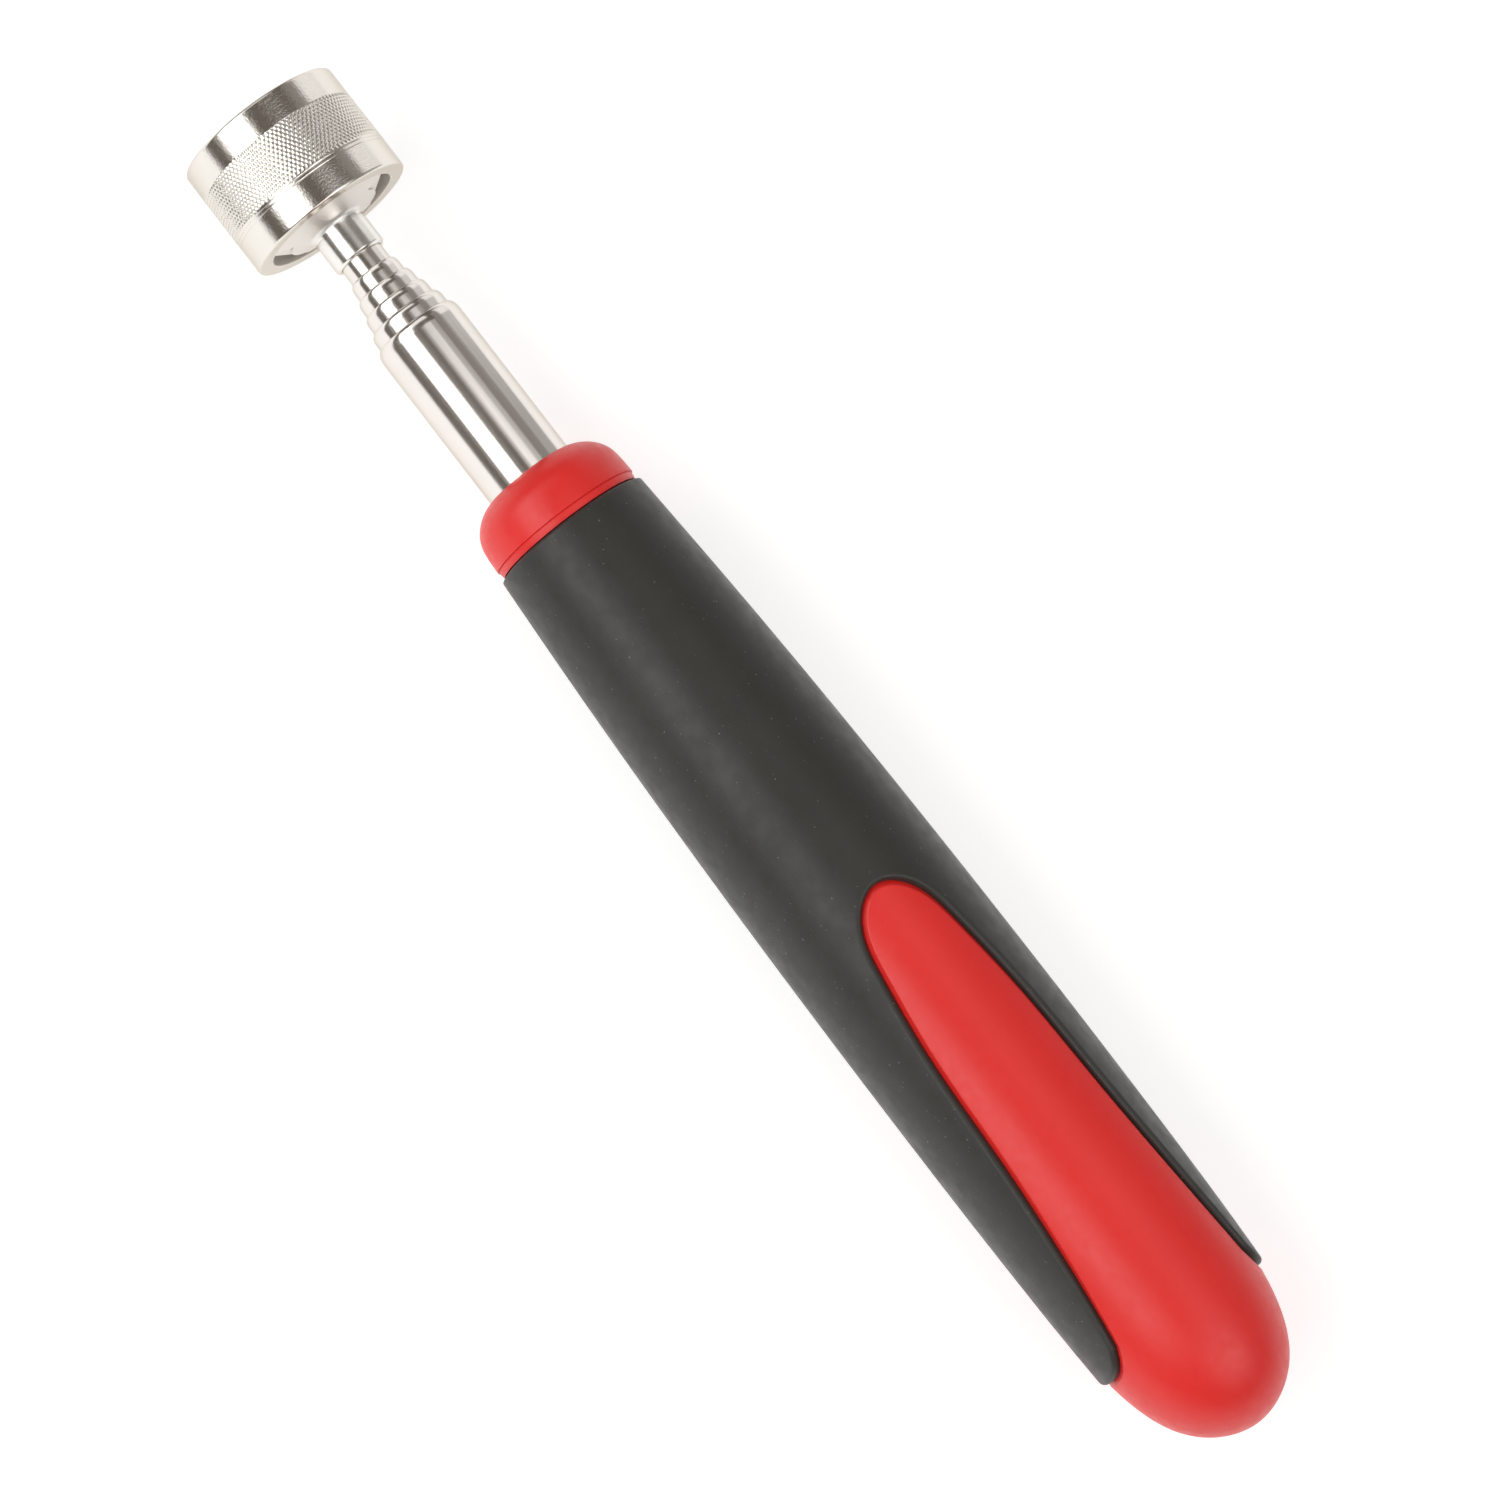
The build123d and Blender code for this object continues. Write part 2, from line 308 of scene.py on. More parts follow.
def inside_cup(n):
    """Matt within the cup's back lip, bright outside it."""
    axes = n.add("SeparateXYZ", Vector=n.place)
    across = n.math("MULTIPLY", axes.outputs["Y"], axes.outputs["Y"])
    up = n.math("MULTIPLY", axes.outputs["Z"], axes.outputs["Z"])
    radius = n.math("SQRT", n.math("ADD", across, up))
    edge = CUP_LIP_RADIUS * MM
    return n.ramp(radius, 1.01 * edge, 1.04 * edge, CUP_BACK_ROUGHNESS, 0.0)


def on_plate(n):
    """Matt on the hub's plate, bright on its neck."""
    x = n.add("SeparateXYZ", Vector=n.place).outputs["X"]
    matt, bright = ((FACE_X - station) * MM for station in PLATE_FADE)
    return n.ramp(x, bright, matt, 0.0, PLATE_ROUGHNESS)


def plain_moulding():
    n = Nodes("black_plastic")
    n.set(
        Base_Color=n.mix(n.noise(200, 3), (0.02, 0.02, 0.02), (0.035, 0.035, 0.034)),
        Roughness=n.ramp(n.noise(700, 3), 0.3, 0.7, 0.4, 0.6),
        Normal=n.bump(n.noise(3000, 2), 0.00002, 0.4),
    )
    return n.material


# --- mast ---------------------------------------------------------------------------------------
TUBE_COUNT = 6
TUBE_SEGMENTS = 128
OUTER_LIP_LENGTH = 1.5
LIP_LENGTH = 1.0
LIP_EDGE = 0.14
LIP_LAND = 0.5
LIP_SHOULDER = 1.5
SLIDE_CLEARANCE = 0.04
TUBE_WALL = 0.3


def tube_size(section):
    """Front station, rear station and outside radius of a mast tube."""
    low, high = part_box(f"mast_tube_{section}")
    return FACE_X - high.x / MM, FACE_X - low.x / MM, high.z / MM


def body_of_tube(section):
    """The moving body that a mast tube belongs to."""
    if section == 1:
        return "handle"
    return "head_section" if section == TUBE_COUNT else f"section_{section}"


def mast_tubes():
    """Six nested tubes, all but the innermost with a lip rolled in at the front."""
    for section in range(1, TUBE_COUNT + 1):
        front, rear, radius = tube_size(section)
        bore = radius - TUBE_WALL
        if section < TUBE_COUNT:
            lip_bore = tube_size(section + 1)[2] + SLIDE_CLEARANCE
            lip_outside = lip_bore + LIP_EDGE
            drop = radius - lip_outside
            length = OUTER_LIP_LENGTH if section == 1 else LIP_LENGTH
            arc = [
                (front + length * (1 - math.cos(a)), lip_outside + drop * math.sin(a))
                for a in np.linspace(0, math.pi / 2, 14)
            ]
            inside = [(front + LIP_SHOULDER, bore), (front + LIP_LAND, lip_bore), (front, lip_bore)]
        else:
            arc = [(front, radius)]
            inside = [(front, bore)]
        outline = held(arc + [(rear, radius), (rear, bore)] + inside)
        points, faces = lathe(outline, TUBE_SEGMENTS, closed=True)
        node = f"mast_tube_{section}"
        body = body_of_tube(section)
        new_piece(f"tube_{section}", points, faces, TUBE, body, [node], 50)


# --- head ---------------------------------------------------------------------------------------
CUP_BORE = 10.0
CUP_LIP_RADIUS = 9.1
CUP_LIP = 1.5
CUP_RIM_ROUND = 0.45
CUP_BACK_ROUND = 0.35
CUP_CORNER_ROUND = 0.12
CUP_BACK_ROUGHNESS = 0.6
KNURL = (4.0, 10.7)
KNURL_LINES = 112
KNURL_LEADS = (0.95, -0.95)  # mm of station in which each set of grooves moves on by one
KNURL_DEPTHS = (0.14, 0.13)
GROOVES = (10.98, 11.48)
GROOVE_WIDTH = 0.18
GROOVE_DEPTH = 0.07
KNURL_LAND = 0.35  # the share of a line that is left as flat ridge
KNURL_FADE = 0.2
SEGMENTS_PER_LINE = 7
ROWS_IN_KNURL = 60


def knurl_drop(station, angles):
    """How far the knurl's surface lies under its ridges: two crossing sets of V grooves."""
    drop = np.zeros(len(angles))
    for lead, depth in zip(KNURL_LEADS, KNURL_DEPTHS):
        phase = KNURL_LINES * angles / (2 * math.pi) + station / lead
        groove = np.abs((phase % 1.0) - 0.5) * 2
        cut = np.clip((groove - KNURL_LAND) / (1 - KNURL_LAND), 0, 1)
        drop = np.maximum(drop, depth * cut)
    fade = min(1.0, (station - KNURL[0]) / KNURL_FADE, (KNURL[1] - station) / KNURL_FADE)
    return drop * max(0.0, fade)


def quarter_circle(station, radius, size, steps, way):
    """Points round an outer corner, from the side in to the flat end that lies at station.

    way is 1 where that end faces the rear and -1 where it faces the front.
    """
    angles = np.linspace(0, math.pi / 2, steps)
    return [
        (station - way * size * (1 - math.sin(a)), radius - size * (1 - math.cos(a))) for a in angles
    ]


def magnet_cup():
    """The plated shell, with its knurled band and the two fine grooves behind it."""
    low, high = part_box("magnet_cup")
    radius, length = high.z / MM, (high.x - low.x) / MM
    back = quarter_circle(length, radius, CUP_BACK_ROUND, 12, 1)
    rim = quarter_circle(0, radius, CUP_RIM_ROUND, 7, -1)[::-1]
    band = [(s, radius) for s in np.linspace(KNURL[0], KNURL[1], ROWS_IN_KNURL + 1)]
    grooves = []
    for middle in GROOVES:
        grooves += [
            (middle - GROOVE_WIDTH / 2, radius),
            (middle - GROOVE_WIDTH / 6, radius - GROOVE_DEPTH),
            (middle + GROOVE_WIDTH / 6, radius - GROOVE_DEPTH),
            (middle + GROOVE_WIDTH / 2, radius),
        ]
    inner = corner_round(
        [
            back[-1],
            (length, CUP_LIP_RADIUS),
            (length - CUP_LIP, CUP_LIP_RADIUS),
            (length - CUP_LIP, CUP_BORE),
            (0, CUP_BORE),
            rim[0],
        ],
        CUP_CORNER_ROUND,
    )[1:-1]
    outline = held(rim + band + grooves + back + inner)

    def radius_of(i, angles, ring_radius):
        station = outline[i][0]
        if ring_radius == radius and KNURL[0] < station < KNURL[1]:
            return ring_radius - knurl_drop(station, angles)
        return np.full(len(angles), ring_radius)

    points, faces = lathe(outline, KNURL_LINES * SEGMENTS_PER_LINE, radius_of, closed=True)
    new_piece("knurled_cup", points, faces, PLATE, "head_section", ["magnet_cup"], 60)


HUB_PLATE = 1.4
HUB_PLATE_RISE = 1.0
HUB_PLATE_RADIUS = 9.0
HUB_PLATE_ROUND = 0.2
HUB_FLAT = 7.1  # distance of a flat from the axis
HUB_FLAT_INNER = 6.6  # rings under this radius are left whole
HUB_FLAT_TURNS = (math.radians(122), math.radians(266))
WIDEST_CUT = 0.2  # cosine of the angle at which a flat ends
PLATE_FADE = (16.6, 17.2)  # stations over which the plate's matt skin turns bright
PLATE_ROUGHNESS = 0.42
COLLAR_RADIUS = 3.6
COLLAR_FLARE = 0.8
COLLAR_CHAMFER = 0.3
COLLAR_ROUND = 0.08
COLLAR_BORE_DEPTH = 3.0
SOCKET_DEPTH = 6.0
HUB_SEGMENTS = 288


def magnet_hub():
    """The turned hub: a plate with two flats in the cup's back, and the neck round the mast."""
    low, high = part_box("magnet_hub")
    front, end = FACE_X - high.x / MM, FACE_X - low.x / MM
    plate_back = front + HUB_PLATE
    socket = tube_size(TUBE_COUNT)[2]
    foot = plate_back + HUB_PLATE_RISE
    flare = [
        (
            foot + COLLAR_FLARE * (1 - math.sin(a)),
            COLLAR_RADIUS + COLLAR_FLARE * (1 - math.cos(a)),
        )
        for a in np.linspace(math.pi / 2, 0, 8)
    ]
    cone = [
        (plate_back + HUB_PLATE_RISE * share, HUB_PLATE_RADIUS + (flare[0][1] - HUB_PLATE_RADIUS) * share)
        for share in np.linspace(0, 1, 11)
    ]
    plate = corner_round([(front, 0.5), (front, HUB_PLATE_RADIUS)] + cone, HUB_PLATE_ROUND)
    neck = corner_round(
        [
            flare[-1],
            (end - COLLAR_CHAMFER, COLLAR_RADIUS),
            (end, COLLAR_RADIUS - COLLAR_CHAMFER),
            (end, socket),
            (end - COLLAR_BORE_DEPTH, socket),
        ],
        COLLAR_ROUND,
    )
    inside = [(end - SOCKET_DEPTH, socket), (end - SOCKET_DEPTH, 0)]
    outline = [(front, 0)] + held(plate + flare[1:-1] + neck + inside)

    def radius_of(i, angles, ring_radius):
        radii = np.full(len(angles), ring_radius)
        if ring_radius < HUB_FLAT_INNER:
            return radii
        inset = HUB_PLATE_RADIUS - ring_radius
        for flat in HUB_FLAT_TURNS:
            facing = np.maximum(np.cos(angles - flat), WIDEST_CUT)
            cut = np.minimum(radii, (HUB_FLAT - inset) / facing)
            radii = np.where(facing > WIDEST_CUT, cut, radii)
        return radii

    points, faces = lathe(outline, HUB_SEGMENTS, radius_of)
    new_piece("hub", points, faces, HUB, "head_section", ["magnet_hub"], 35)


# --- handle -------------------------------------------------------------------------------------
NOSE_STATION = 56.2
GRIP_STATION = 64.5
NOSE_REAR_RADIUS = 10.5
SEAM_RADIUS = 9.8
NOSE_LEDGE = 1.05  # the low step round the nose's rear edge
NOSE_LEDGE_RADII = (10.34, 10.22)
GRIP_FRONT_RADIUS = 10.8
GRIP_CHAMFER = 0.4
RUBBER_THICKNESS = 1.7
GRIP_OUTLINE = [
    (80, 11.62),
    (100, 12.42),
    (125, 12.97),
    (150, 13.15),
    (170, 13.03),
    (183, 12.74),
    (191, 12.4),
]
NOSE_OUTLINE = [(57.15, 8.26), (58.3, 9.42), (59.5, 10.08), (60.9, 10.36)]
WINDOW_OUTLINE = [(123, 12.36), (150, 12.5), (170, 12.42), (182, 12.18)]
BUTT_OUTLINE = [(187.5, 11.85), (191.5, 11.22), (195.5, 10.02), (198.9, 8.1), (201.5, 5.3)]
WINDOW_TIP = 123.0
WINDOW_SIDE = [(125.1, 3.85), (132.3, 6.35), (143.1, 7.72), (157.5, 8.45), (171.9, 9.4)]
LOBE_START = (184.8, 10.65)
LOBE_SHOULDER = (188.1, 12.3)
LOBE_END = (188.45, 13.0)
PLUG_RADIUS = 6.5
PLUG_DEPTH = 6.0
PLUG_FLOOR = 2.0

ROUND = 192  # segments round the handle
UNROLLED = 12.8  # radius at which the handle's skin is laid out flat
QUARTER = math.pi / 2 * UNROLLED  # where the handle's side lines lie on the unrolled skin
SKIN_STEP = 0.8
EDGE_STEP = 0.5
GRIP_EDGE_ROWS = (0.9, 0.72, 0.58, 0.46, 0.36, 0.26, 0.17, 0.1, 0.045, 0.01, 0.0)
GRIP_EDGE_ROUND = 0.55
GRIP_FRONT_ROUND = 0.12
RED_EDGE_ROWS = (0.0, 0.08, 0.4, 0.68, 0.76, 0.84, 0.95, 1.2)
RED_BEVEL = 0.8
RED_BEVEL_DEPTH = 0.45
LEDGE_GROOVE = 0.09
LEDGE_GROOVE_STEPS = (0.03, 0.1, 0.16)  # its front wall, the end of its floor, and its rear edge
SEAM_ROUND = 0.04
FRONT_LINE = 66.0
BUTT_LINE = 190.0


def along(curve):
    """The radius at a station, read from a dense curve of stations and radii."""
    return lambda station: np.interp(station, curve[:, 0], curve[:, 1])


GRIP_CURVE = spline([(GRIP_STATION + GRIP_CHAMFER, GRIP_FRONT_RADIUS)] + GRIP_OUTLINE, 400)
RED_CURVE = spline(WINDOW_OUTLINE + BUTT_OUTLINE + [(CLOSED_LENGTH, 0)], 400, (1, 0.01), (0, -1))
grip_radius = along(GRIP_CURVE)
red_radius = along(RED_CURVE)


def under_radius(station):
    """The hidden seat between the core and the rubber."""
    return grip_radius(station) - RUBBER_THICKNESS


def window_edge():
    """One window's edge on the unrolled skin, from one lobe's tip round the window to the other's."""
    side = spline([(WINDOW_TIP, 0)] + WINDOW_SIDE + [LOBE_START], 600, (0, 1), (1, 0.117))
    lobe = spline([LOBE_START, LOBE_SHOULDER, LOBE_END], 200, (1, 0.4), (0.1, 1))
    plan = np.vstack([side, lobe[1:]])
    reach = np.minimum(plan[:, 1] / grip_radius(plan[:, 0]), 1.0)
    last = int(np.argmax(reach >= 1.0)) if (reach >= 1.0).any() else len(plan) - 1
    half = np.stack([plan[: last + 1, 0], UNROLLED * np.arcsin(reach[: last + 1])], 1)
    whole = np.vstack([(half * (1, -1))[::-1], half[1:]])
    length = np.concatenate([[0], np.cumsum(np.linalg.norm(np.diff(whole, axis=0), axis=1))])
    count = 2 * int(length[-1] / EDGE_STEP / 2)
    at = np.linspace(0, length[-1], count + 1)
    return np.stack([np.interp(at, length, whole[:, k]) for k in (0, 1)], 1)


def offset(edge, distance):
    """The edge moved outwards, into the rubber's side. Its ends stay on the handle's side lines."""
    way = np.gradient(edge, axis=0)
    way /= np.linalg.norm(way, axis=1)[:, None]
    way[0], way[-1] = (0, 1), (0, 1)
    normal = np.stack([-way[:, 1], way[:, 0]], 1)
    return edge + normal * distance


def fill(boundary):
    """Triangles over a region of the unrolled skin, on the boundary's points and a regular grid."""
    ring = np.array(boundary)
    low, high = ring.min(0), ring.max(0)
    grid = []
    rows = int((high[0] - low[0]) / (SKIN_STEP * 0.866))  # the height of an even triangle
    for i in range(1, rows):
        station = low[0] + (high[0] - low[0]) * i / rows
        shift = 0.25 if i % 2 else -0.25
        columns = int((high[1] - low[1]) / SKIN_STEP)
        for j in range(columns + 1):
            grid.append((station, low[1] + (high[1] - low[1]) * (j + shift) / columns))
    grid = np.array(grid)
    grid = grid[inside(grid, ring)]
    gap = np.min(np.linalg.norm(grid[:, None, :] - ring[None, :, :], axis=2), axis=1)
    grid = grid[gap > 0.5 * SKIN_STEP]
    points = np.vstack([ring, grid])
    n = len(ring)
    edges = [(i, (i + 1) % n) for i in range(n)]
    result = delaunay_2d_cdt([Vector(p) for p in points], edges, [], 1, 1e-7)
    return np.array([tuple(v) for v in result[0]]), [tuple(f) for f in result[2]]


def inside(points, ring):
    """Which points lie inside a closed ring."""
    x, y = points[:, 0], points[:, 1]
    found = np.zeros(len(points), bool)
    for a, b in zip(ring, np.roll(ring, -1, axis=0)):
        if a[1] == b[1]:
            continue
        crosses = (a[1] > y) != (b[1] > y)
        found ^= crosses & (x < (b[0] - a[0]) * (y - a[1]) / (b[1] - a[1]) + a[0])
    return found


class Skin:
    """Collects the handle's surface in halves: what is added to the top is added, turned, below."""

    def __init__(self):
        self.points, self.faces = [], []

    def both(self, flat, radii, faces):
        """Faces over unrolled points (station, arc) at their radii, on the top and on the bottom."""
        angle = flat[:, 1] / UNROLLED
        x, y, z = FACE_X - flat[:, 0], radii * np.sin(angle), radii * np.cos(angle)
        for turn in (1, -1):
            start = len(self.points)
            self.points += list(zip(x, turn * y, turn * z))
            self.faces += [tuple(start + k for k in face) for face in faces]

    def strip(self, one, radii_one, two, radii_two):
        """A band of quads between two rows of unrolled points."""
        n = len(one)
        quads = [(k, k + 1, n + k + 1, n + k) for k in range(n - 1)]
        self.both(np.vstack([one, two]), np.concatenate([radii_one, radii_two]), quads)

    def rings(self, outline):
        """Full rings through a list of (station, radius)."""
        arc = np.linspace(-0.5, 0.5, ROUND // 2 + 1) * math.pi * UNROLLED
        rows = []
        for station, radius in outline:
            flat = np.stack([np.full(len(arc), station), arc], 1)
            rows.append((flat, np.full(len(arc), max(radius, 1e-9))))
        for (one, a), (two, b) in zip(rows, rows[1:]):
            self.strip(one, a, two, b)


def side_line(start, end):
    """Stations along the handle's side line, from start to end."""
    count = max(1, round(abs(end - start) / SKIN_STEP))
    return np.linspace(start, end, count + 1)[1:-1]


def rows_from(edge, distances, side):
    """Rows of points beside the edge: side is 1 over the rubber and -1 over the red window."""
    rows = []
    for distance in distances:
        row = offset(edge, side * distance)
        row[0, 1], row[-1, 1] = -QUARTER, QUARTER
        rows.append(row)
    return rows


def outside_region(edge):
    """Outline of the skin the rubber covers, from its front line to its rounded edge."""
    row = rows_from(edge, GRIP_EDGE_ROWS[:1], 1)[0]
    front = [(FRONT_LINE, a) for a in np.linspace(-QUARTER, QUARTER, ROUND // 2 + 1)]
    right = [(s, QUARTER) for s in side_line(FRONT_LINE, row[-1, 0])]
    left = [(s, -QUARTER) for s in side_line(row[0, 0], FRONT_LINE)]
    return front + right + [tuple(p) for p in row[::-1]] + left


def inside_region(edge):
    """Outline of the red skin of a window and of the butt, as far as the butt line."""
    row = rows_from(edge, RED_EDGE_ROWS[-1:], -1)[0]
    right = [(s, QUARTER) for s in side_line(row[-1, 0], BUTT_LINE)]
    butt = [(BUTT_LINE, a) for a in np.linspace(QUARTER, -QUARTER, ROUND // 2 + 1)]
    left = [(s, -QUARTER) for s in side_line(BUTT_LINE, row[0, 0])]
    return [tuple(p) for p in row] + right + butt + left


def grip_edge_drop(distance):
    """The rubber's rounded edge at a distance from the window's edge."""
    if distance >= GRIP_EDGE_ROUND:
        return 0.0
    return GRIP_EDGE_ROUND - math.sqrt(GRIP_EDGE_ROUND**2 - (GRIP_EDGE_ROUND - distance) ** 2)


def red_edge_drop(distance):
    """The red skin's bevel down to the seam round its window."""
    if distance >= RED_BEVEL:
        return 0.0
    return RED_BEVEL_DEPTH * (1 - distance / RED_BEVEL)


def grip_overmould(edge, covered):
    """The rubber sleeve, with rounded edges round the windows."""
    skin = Skin()
    flat, faces = covered
    skin.both(flat, grip_radius(flat[:, 0]), faces)
    skin.both(flat, under_radius(flat[:, 0]), faces)
    rows = rows_from(edge, GRIP_EDGE_ROWS, 1)
    radii = [grip_radius(row[:, 0]) - grip_edge_drop(d) for row, d in zip(rows, GRIP_EDGE_ROWS)]
    for k in range(len(rows) - 1):
        skin.strip(rows[k], radii[k], rows[k + 1], radii[k + 1])
    skin.strip(rows[-1], radii[-1], rows[-1], under_radius(rows[-1][:, 0]))
    skin.strip(rows[-1], under_radius(rows[-1][:, 0]), rows[0], under_radius(rows[0][:, 0]))
    front = corner_round(
        [
            (FRONT_LINE, under_radius(FRONT_LINE)),
            (GRIP_STATION, under_radius(GRIP_STATION)),
            (GRIP_STATION, SEAM_RADIUS),
            (GRIP_STATION + GRIP_CHAMFER, GRIP_FRONT_RADIUS),
            (FRONT_LINE, grip_radius(FRONT_LINE)),
        ],
        GRIP_FRONT_ROUND,
    )
    skin.rings(front)
    new_piece("grip", skin.points, skin.faces, RUBBER, "handle", ["grip_overmould"], 60)


def handle_core(edge, covered):
    """The red moulding: nose, windows, butt and the hidden seat under the rubber."""
    skin = Skin()
    flat, faces = covered
    skin.both(flat, under_radius(flat[:, 0]), faces)
    outer = rows_from(edge, (GRIP_EDGE_ROWS[0], 0.0), 1)
    skin.strip(outer[0], under_radius(outer[0][:, 0]), outer[1], under_radius(outer[1][:, 0]))
    rows = rows_from(edge, RED_EDGE_ROWS, -1)
    radii = [red_radius(row[:, 0]) - red_edge_drop(d) for row, d in zip(rows, RED_EDGE_ROWS)]
    skin.strip(outer[1], under_radius(outer[1][:, 0]), rows[0], radii[0])
    for k in range(len(rows) - 1):
        skin.strip(rows[k], radii[k], rows[k + 1], radii[k + 1])
    flat, faces = fill(inside_region(edge))
    skin.both(flat, red_radius(flat[:, 0]), faces)
    butt = [(BUTT_LINE, red_radius(BUTT_LINE))]
    dome = RED_CURVE[RED_CURVE[:, 0] > BUTT_LINE + 0.3]
    butt += [tuple(p) for p in dome[::2]][:-1] + [(CLOSED_LENGTH, 0)]
    skin.rings(butt)
    _, mast_rear, bore = tube_size(1)
    step = GRIP_STATION - NOSE_LEDGE
    groove_front, groove_rear, ledge_front = (step + s for s in LEDGE_GROOVE_STEPS)
    nose_points = [(NOSE_STATION, bore)] + NOSE_OUTLINE + [(step, NOSE_REAR_RADIUS)]
    nose = [tuple(p) for p in spline(nose_points, 40, (0.08, 1), (1, 0.04))]
    seam = corner_round(
        [
            nose[-2],
            nose[-1],
            (groove_front, NOSE_LEDGE_RADII[0] - LEDGE_GROOVE),
            (groove_rear, NOSE_LEDGE_RADII[0] - LEDGE_GROOVE),
            (ledge_front, NOSE_LEDGE_RADII[0]),
            (GRIP_STATION, NOSE_LEDGE_RADII[1]),
            (GRIP_STATION, SEAM_RADIUS),
            (GRIP_STATION, under_radius(GRIP_STATION)),
            (FRONT_LINE, under_radius(FRONT_LINE)),
        ],
        SEAM_ROUND,
    )
    hidden = [
        (mast_rear + PLUG_FLOOR, 0),
        (mast_rear + PLUG_FLOOR, PLUG_RADIUS),
        (mast_rear - PLUG_DEPTH, PLUG_RADIUS),
        (mast_rear - PLUG_DEPTH, bore),
    ]
    skin.rings(hidden + nose[:-1] + seam[1:])
    new_piece("core", skin.points, skin.faces, RED, "handle", ["handle_core"], 60)


# --- remaining CAD nodes ------------------------------------------------------------------------
def finish_cad_nodes():
    """Materials for the pieces whose CAD shape is already right."""
    looks = {"mast_end_plug": BLACK, "backing_disc": STEEL, "magnet_disc": MAGNET, "spacer_ring": BRASS}
    for section in range(2, TUBE_COUNT + 1):
        looks[f"guide_bush_{section}"] = BRASS
        looks[f"friction_ring_{section}"] = BRONZE
    for node, material in looks.items():
        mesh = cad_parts[node].data
        mesh.materials.clear()
        mesh.materials.append(material)


# --- stage, lights and camera -------------------------------------------------------------------
VIEW_TURN = math.radians(13.7)  # the camera's lean round the tool's axis, from +Z towards +Y
VIEW_TILT = math.radians(4.3)  # the head lies this much further away than the butt
VIEW_ROLL = math.radians(52.36)  # the tool's slope in the picture
VIEW_DISTANCE = 0.6185
VIEW_STATION = 99.95
VIEW_SIDE = -0.00091
FOCAL_LENGTH = 120.0
SENSOR_WIDTH = 36
FLOOR_HALF = 6.0
FLOOR_GLOW = 0.63
ROOM_COLOUR = (0.14, 0.122, 0.105, 1)


def camera():
    """A long lens that looks down on the tool, a little from the butt's end."""
    towards = Vector((
        -math.sin(VIEW_TILT),
        math.cos(VIEW_TILT) * math.sin(VIEW_TURN),
        math.cos(VIEW_TILT) * math.cos(VIEW_TURN),
    ))
    axis = Vector((1, 0, 0))
    axis = (axis - axis.dot(towards) * towards).normalized()
    across = towards.cross(axis)
    right = -math.cos(VIEW_ROLL) * axis - math.sin(VIEW_ROLL) * across
    up = math.sin(VIEW_ROLL) * axis - math.cos(VIEW_ROLL) * across
    target = Vector(((FACE_X - VIEW_STATION) * MM, 0, 0)) + across * VIEW_SIDE
    data = bpy.data.cameras.new("camera")
    data.lens = FOCAL_LENGTH
    data.sensor_width = SENSOR_WIDTH
    data.clip_start = 0.01
    eye = bpy.data.objects.new("camera", data)
    eye.matrix_world = Matrix((right, up, towards)).transposed().to_4x4()
    eye.location = target + towards * VIEW_DISTANCE
    bpy.context.scene.collection.objects.link(eye)
    bpy.context.scene.camera = eye


def floor():
    """A pale matt surface that shines a little, like a light table."""
    mesh = bpy.data.meshes.new("floor")
    level = CAD_BOX[0].z
    corners = [(x * FLOOR_HALF, y * FLOOR_HALF, level) for x, y in ((-1, -1), (1, -1), (1, 1), (-1, 1))]
    mesh.from_pydata(corners, [], [(0, 1, 2, 3)])
    n = Nodes("floor")
    n.set(Base_Color=n.mix(n.noise(8, 2), (0.56, 0.56, 0.56), (0.58, 0.58, 0.58)))
    n.shader.inputs["Roughness"].default_value = 0.9
    n.shader.inputs["Specular IOR Level"].default_value = 0.1
    n.shader.inputs["Emission Color"].default_value = (1, 1, 1, 1)
    n.shader.inputs["Emission Strength"].default_value = FLOOR_GLOW
    mesh.materials.append(n.material)
    ground = bpy.data.objects.new("floor", mesh)
    bpy.context.scene.collection.objects.link(ground)


def softbox(name, polar, distance, width, length, power, middle=0.0):
    """A rectangular lamp beside the tool that faces its axis.

    polar is its angle from +Z towards +Y, and middle is where it stands along X.
    """
    data = bpy.data.lights.new(name, "AREA")
    data.shape = "RECTANGLE"
    data.size, data.size_y = width, length
    data.energy = power
    lamp = bpy.data.objects.new(name, data)
    angle = math.radians(polar)
    away = Vector((0, math.sin(angle), math.cos(angle)))
    side = Vector((0, math.cos(angle), -math.sin(angle)))
    lamp.matrix_world = Matrix((side, Vector((-1, 0, 0)), away)).transposed().to_4x4()
    lamp.location = away * distance + Vector((middle, 0, 0))
    lamp.visible_camera = False
    bpy.context.scene.collection.objects.link(lamp)


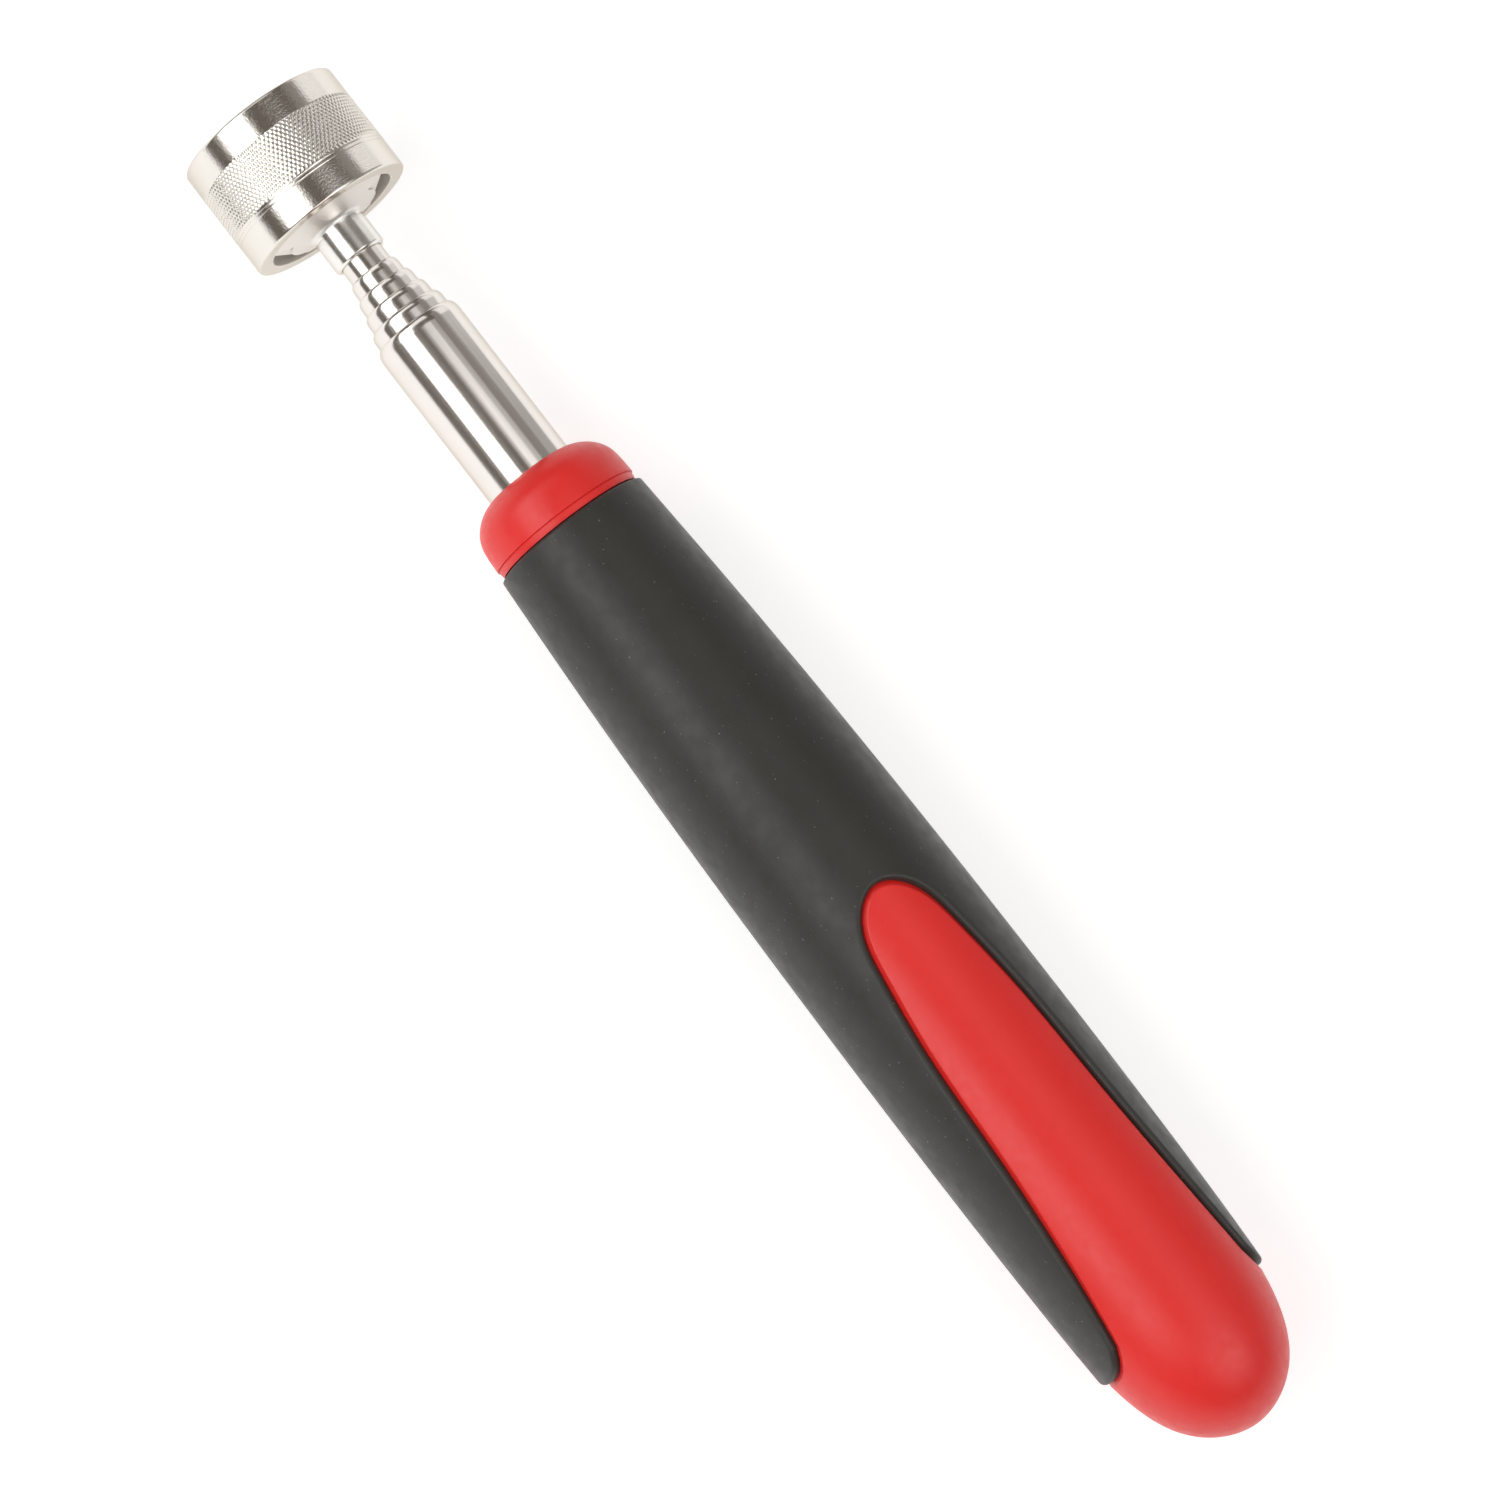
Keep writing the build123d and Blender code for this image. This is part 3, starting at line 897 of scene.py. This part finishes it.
def lights():
    """Lamps whose long reflections lie along the metal, far lamps for the handle, and a dim room."""
    softbox("key", polar=43.5, distance=0.60, width=0.38, length=1.00, power=3.2, middle=0.25)
    softbox("key_head", polar=43.5, distance=0.60, width=0.50, length=0.57, power=1.0, middle=0.514)
    softbox("strip", polar=-14.5, distance=0.55, width=0.18, length=0.60, power=0.2, middle=-0.093)
    softbox("strip_soft", polar=-18, distance=0.55, width=0.40, length=0.60, power=0.36, middle=-0.10)
    softbox("fill", polar=-75, distance=0.70, width=0.34, length=1.20, power=0.2)
    softbox("fill_soft", polar=-64, distance=0.70, width=0.62, length=1.20, power=0.32)
    softbox("fill_head", polar=-74, distance=0.70, width=0.40, length=0.60, power=0.45, middle=0.53)
    softbox("butt_side", polar=-10, distance=1.10, width=1.40, length=1.00, power=10, middle=-1.2)
    softbox("head_side", polar=0, distance=1.30, width=1.40, length=1.00, power=4, middle=1.4)
    world = bpy.data.worlds.new("room")
    world.use_nodes = True
    background = world.node_tree.nodes["Background"]
    background.inputs["Color"].default_value = ROOM_COLOUR
    background.inputs["Strength"].default_value = 1.0
    bpy.context.scene.world = world
    bpy.context.scene.view_settings.view_transform = "Standard"


RED = red_plastic()
RUBBER = grip_rubber()
BLACK = plain_moulding()
TUBE = bright_metal("chrome_tube", (0.76, 0.73, 0.69), (0.82, 0.79, 0.75), (0.13, 0.21), ALONG)
PLATE = bright_metal(
    "plated_cup", (0.74, 0.71, 0.66), (0.82, 0.79, 0.74), (0.10, 0.18), SPECKLE, 0.000018, inside_cup
)
HUB = bright_metal(
    "plated_hub", (0.80, 0.78, 0.75), (0.86, 0.84, 0.81), (0.16, 0.24), SPECKLE, 0.000003, on_plate
)
BRASS = bright_metal("brass", (0.72, 0.52, 0.22), (0.80, 0.60, 0.30), (0.15, 0.3), AROUND)
BRONZE = bright_metal("spring_bronze", (0.60, 0.34, 0.18), (0.70, 0.42, 0.24), (0.15, 0.3), SPECKLE)
STEEL = bright_metal("steel_disc", (0.50, 0.50, 0.49), (0.60, 0.60, 0.59), (0.2, 0.35), SPECKLE)
MAGNET = bright_metal("magnet", (0.66, 0.65, 0.63), (0.74, 0.73, 0.71), (0.12, 0.25), SPECKLE)

mast_tubes()
magnet_cup()
magnet_hub()
EDGE = window_edge()
COVERED = fill(outside_region(EDGE))
grip_overmould(EDGE, COVERED)
handle_core(EDGE, COVERED)
finish_cad_nodes()
floor()
lights()
camera()
